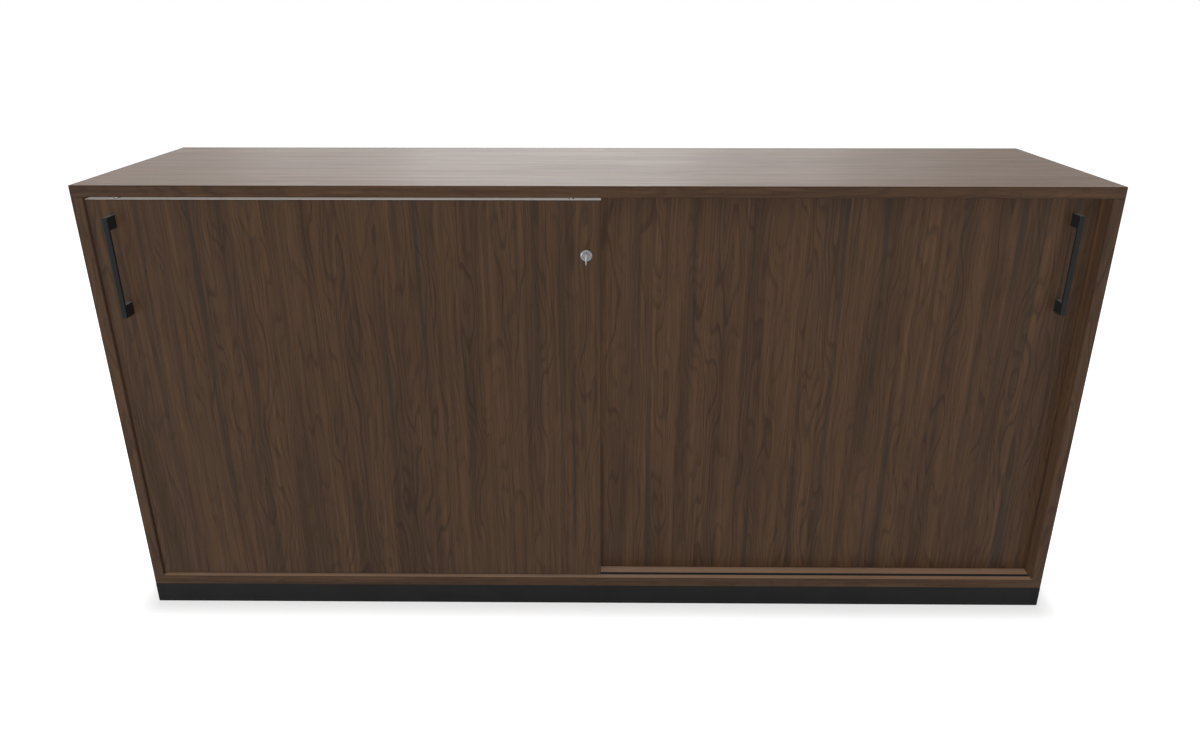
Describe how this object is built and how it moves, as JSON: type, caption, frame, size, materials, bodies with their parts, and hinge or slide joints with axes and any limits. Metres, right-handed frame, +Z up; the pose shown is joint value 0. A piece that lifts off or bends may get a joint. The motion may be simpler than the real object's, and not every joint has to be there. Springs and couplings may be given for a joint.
{
  "type": "office credenza",
  "caption": "Low office credenza with two overlapping sliding doors, cylinder lock, bow handles, inner shelves and a flush plinth.",
  "frame": {"origin": "on the floor under the middle of the carcass", "axes": "+X to the right as seen from the front, +Y to the back, +Z up"},
  "size_m": [1.6, 0.4262, 0.757],
  "materials": {
    "walnut_board": "dark walnut veneer, satin",
    "black_board": "black laminate, satin",
    "black_track": "black extruded plastic",
    "cast_zinc": "bright zinc casting",
    "plated_steel": "zinc-plated",
    "lock_metal": "satin nickel",
    "key_steel": "nickel-plated",
    "black_metal": "black powder coat, satin",
    "black_plastic": "black moulded plastic",
    "brown_plastic": "dark brown moulded plastic",
    "nylon": "natural nylon",
    "spring_steel": "bright spring wire"
  },
  "bodies": {
    "carcass": {"top_panel": "walnut_board", "bottom_panel": "walnut_board", "left_side_panel": "walnut_board", "right_side_panel": "walnut_board", "centre_partition": "walnut_board", "back_panel": "walnut_board", "left_shelf": "walnut_board", "right_shelf": "walnut_board", "shelf_pins": "plated_steel", "cam_fittings": "cast_zinc", "front_running_track": "black_track", "rear_running_track": "black_track", "front_guide_track": "black_track", "rear_guide_track": "black_track", "guide_track_stops": "black_track", "front_plinth_rail": "black_board", "back_plinth_rail": "black_board", "left_plinth_rail": "black_board", "right_plinth_rail": "black_board", "centre_plinth_rail": "black_board", "leveller_sockets": "black_plastic", "access_caps": "brown_plastic"},
    "front_door": {"front_door_panel": "walnut_board", "front_handle": "black_metal", "front_handle_screws": "plated_steel", "front_roller_housings": "black_plastic", "front_guide_sleeves": "black_plastic", "front_left_guide_spring": "spring_steel", "front_right_guide_spring": "spring_steel", "lock_housing": "lock_metal", "lock_nut": "plated_steel"},
    "rear_door": {"rear_door_panel": "walnut_board", "rear_handle": "black_metal", "rear_handle_screws": "plated_steel", "rear_roller_housings": "black_plastic", "rear_guide_sleeves": "black_plastic", "rear_left_guide_spring": "spring_steel", "rear_right_guide_spring": "spring_steel", "lock_keeper": "plated_steel", "keeper_screws": "plated_steel"},
    "lock_core": {"lock_core": "lock_metal", "lock_cam": "cast_zinc", "lock_cam_screw": "plated_steel"},
    "key": {"key": "key_steel"},
    "front_left_wheel": {"front_left_wheel": "nylon"},
    "front_right_wheel": {"front_right_wheel": "nylon"},
    "rear_left_wheel": {"rear_left_wheel": "nylon"},
    "rear_right_wheel": {"rear_right_wheel": "nylon"},
    "front_left_guide_pin": {"front_left_guide_pin": "nylon"},
    "front_right_guide_pin": {"front_right_guide_pin": "nylon"},
    "rear_left_guide_pin": {"rear_left_guide_pin": "nylon"},
    "rear_right_guide_pin": {"rear_right_guide_pin": "nylon"},
    "front_left_foot_pad": {"front_left_foot_pad": "black_plastic"},
    "front_left_foot_screw": {"front_left_foot_screw": "plated_steel"},
    "front_right_foot_pad": {"front_right_foot_pad": "black_plastic"},
    "front_right_foot_screw": {"front_right_foot_screw": "plated_steel"},
    "back_left_foot_pad": {"back_left_foot_pad": "black_plastic"},
    "back_left_foot_screw": {"back_left_foot_screw": "plated_steel"},
    "back_right_foot_pad": {"back_right_foot_pad": "black_plastic"},
    "back_right_foot_screw": {"back_right_foot_screw": "plated_steel"}
  },
  "joints": [
    {"name": "front_door_slide", "type": "slide", "parent": "carcass", "child": "front_door", "axis": [1, 0, 0], "range_m": [0, 0.7]},
    {"name": "rear_door_slide", "type": "slide", "parent": "carcass", "child": "rear_door", "axis": [1, 0, 0], "range_m": [-0.7, 0]},
    {"name": "front_left_wheel_roll", "type": "hinge", "parent": "front_door", "child": "front_left_wheel", "pos_m": [-0.721, -0.1867, 0.0623], "axis": [0, 1, 0], "range_deg": [-10, 3360]},
    {"name": "front_right_wheel_roll", "type": "hinge", "parent": "front_door", "child": "front_right_wheel", "pos_m": [-0.052, -0.1867, 0.0623], "axis": [0, 1, 0], "range_deg": [-10, 3360]},
    {"name": "rear_left_wheel_roll", "type": "hinge", "parent": "rear_door", "child": "rear_left_wheel", "pos_m": [0.052, -0.1607, 0.0623], "axis": [0, 1, 0], "range_deg": [-3360, 10]},
    {"name": "rear_right_wheel_roll", "type": "hinge", "parent": "rear_door", "child": "rear_right_wheel", "pos_m": [0.721, -0.1607, 0.0623], "axis": [0, 1, 0], "range_deg": [-3360, 10]},
    {"name": "front_left_guide_pin_plunge", "type": "slide", "parent": "front_door", "child": "front_left_guide_pin", "axis": [0, 0, 1], "range_m": [-0.007, 0], "stiffness_N_per_m": 200, "springref_m": 0.008, "deforming": ["front_left_guide_spring"]},
    {"name": "front_right_guide_pin_plunge", "type": "slide", "parent": "front_door", "child": "front_right_guide_pin", "axis": [0, 0, 1], "range_m": [-0.007, 0], "stiffness_N_per_m": 200, "springref_m": 0.008, "deforming": ["front_right_guide_spring"]},
    {"name": "rear_left_guide_pin_plunge", "type": "slide", "parent": "rear_door", "child": "rear_left_guide_pin", "axis": [0, 0, 1], "range_m": [-0.007, 0], "stiffness_N_per_m": 200, "springref_m": 0.008, "deforming": ["rear_left_guide_spring"]},
    {"name": "rear_right_guide_pin_plunge", "type": "slide", "parent": "rear_door", "child": "rear_right_guide_pin", "axis": [0, 0, 1], "range_m": [-0.007, 0], "stiffness_N_per_m": 200, "springref_m": 0.008, "deforming": ["rear_right_guide_spring"]},
    {"name": "lock_turn", "type": "hinge", "parent": "front_door", "child": "lock_core", "pos_m": [-0.0145, -0.1957, 0.6484], "axis": [0, -1, 0], "range_deg": [0, 90]},
    {"name": "key_withdraw", "type": "slide", "parent": "lock_core", "child": "key", "axis": [0, -1, 0], "range_m": [0, 0.03]},
    {"name": "front_left_foot_lower", "type": "slide", "parent": "carcass", "child": "front_left_foot_pad", "axis": [0, 0, -1], "range_m": [0, 0.012]},
    {"name": "front_left_foot_turn", "type": "hinge", "parent": "front_left_foot_pad", "child": "front_left_foot_screw", "pos_m": [-0.762, -0.12, 0.02], "axis": [0, 0, 1], "range_deg": [-3465, 0]},
    {"name": "front_right_foot_lower", "type": "slide", "parent": "carcass", "child": "front_right_foot_pad", "axis": [0, 0, -1], "range_m": [0, 0.012]},
    {"name": "front_right_foot_turn", "type": "hinge", "parent": "front_right_foot_pad", "child": "front_right_foot_screw", "pos_m": [0.762, -0.12, 0.02], "axis": [0, 0, 1], "range_deg": [-3465, 0]},
    {"name": "back_left_foot_lower", "type": "slide", "parent": "carcass", "child": "back_left_foot_pad", "axis": [0, 0, -1], "range_m": [0, 0.012]},
    {"name": "back_left_foot_turn", "type": "hinge", "parent": "back_left_foot_pad", "child": "back_left_foot_screw", "pos_m": [-0.762, 0.12, 0.02], "axis": [0, 0, 1], "range_deg": [-3465, 0]},
    {"name": "back_right_foot_lower", "type": "slide", "parent": "carcass", "child": "back_right_foot_pad", "axis": [0, 0, -1], "range_m": [0, 0.012]},
    {"name": "back_right_foot_turn", "type": "hinge", "parent": "back_right_foot_pad", "child": "back_right_foot_screw", "pos_m": [0.762, 0.12, 0.02], "axis": [0, 0, 1], "range_deg": [-3465, 0]}
  ],
  "couplings": [
    {"joint": "front_left_wheel_roll", "follows": "front_door_slide", "rad_per_m": 83.333},
    {"joint": "front_right_wheel_roll", "follows": "front_door_slide", "rad_per_m": 83.333},
    {"joint": "rear_left_wheel_roll", "follows": "rear_door_slide", "rad_per_m": 83.333},
    {"joint": "rear_right_wheel_roll", "follows": "rear_door_slide", "rad_per_m": 83.333},
    {"joint": "front_left_foot_turn", "follows": "front_left_foot_lower", "rad_per_m": -5026.5},
    {"joint": "front_right_foot_turn", "follows": "front_right_foot_lower", "rad_per_m": -5026.5},
    {"joint": "back_left_foot_turn", "follows": "back_left_foot_lower", "rad_per_m": -5026.5},
    {"joint": "back_right_foot_turn", "follows": "back_right_foot_lower", "rad_per_m": -5026.5}
  ]
}
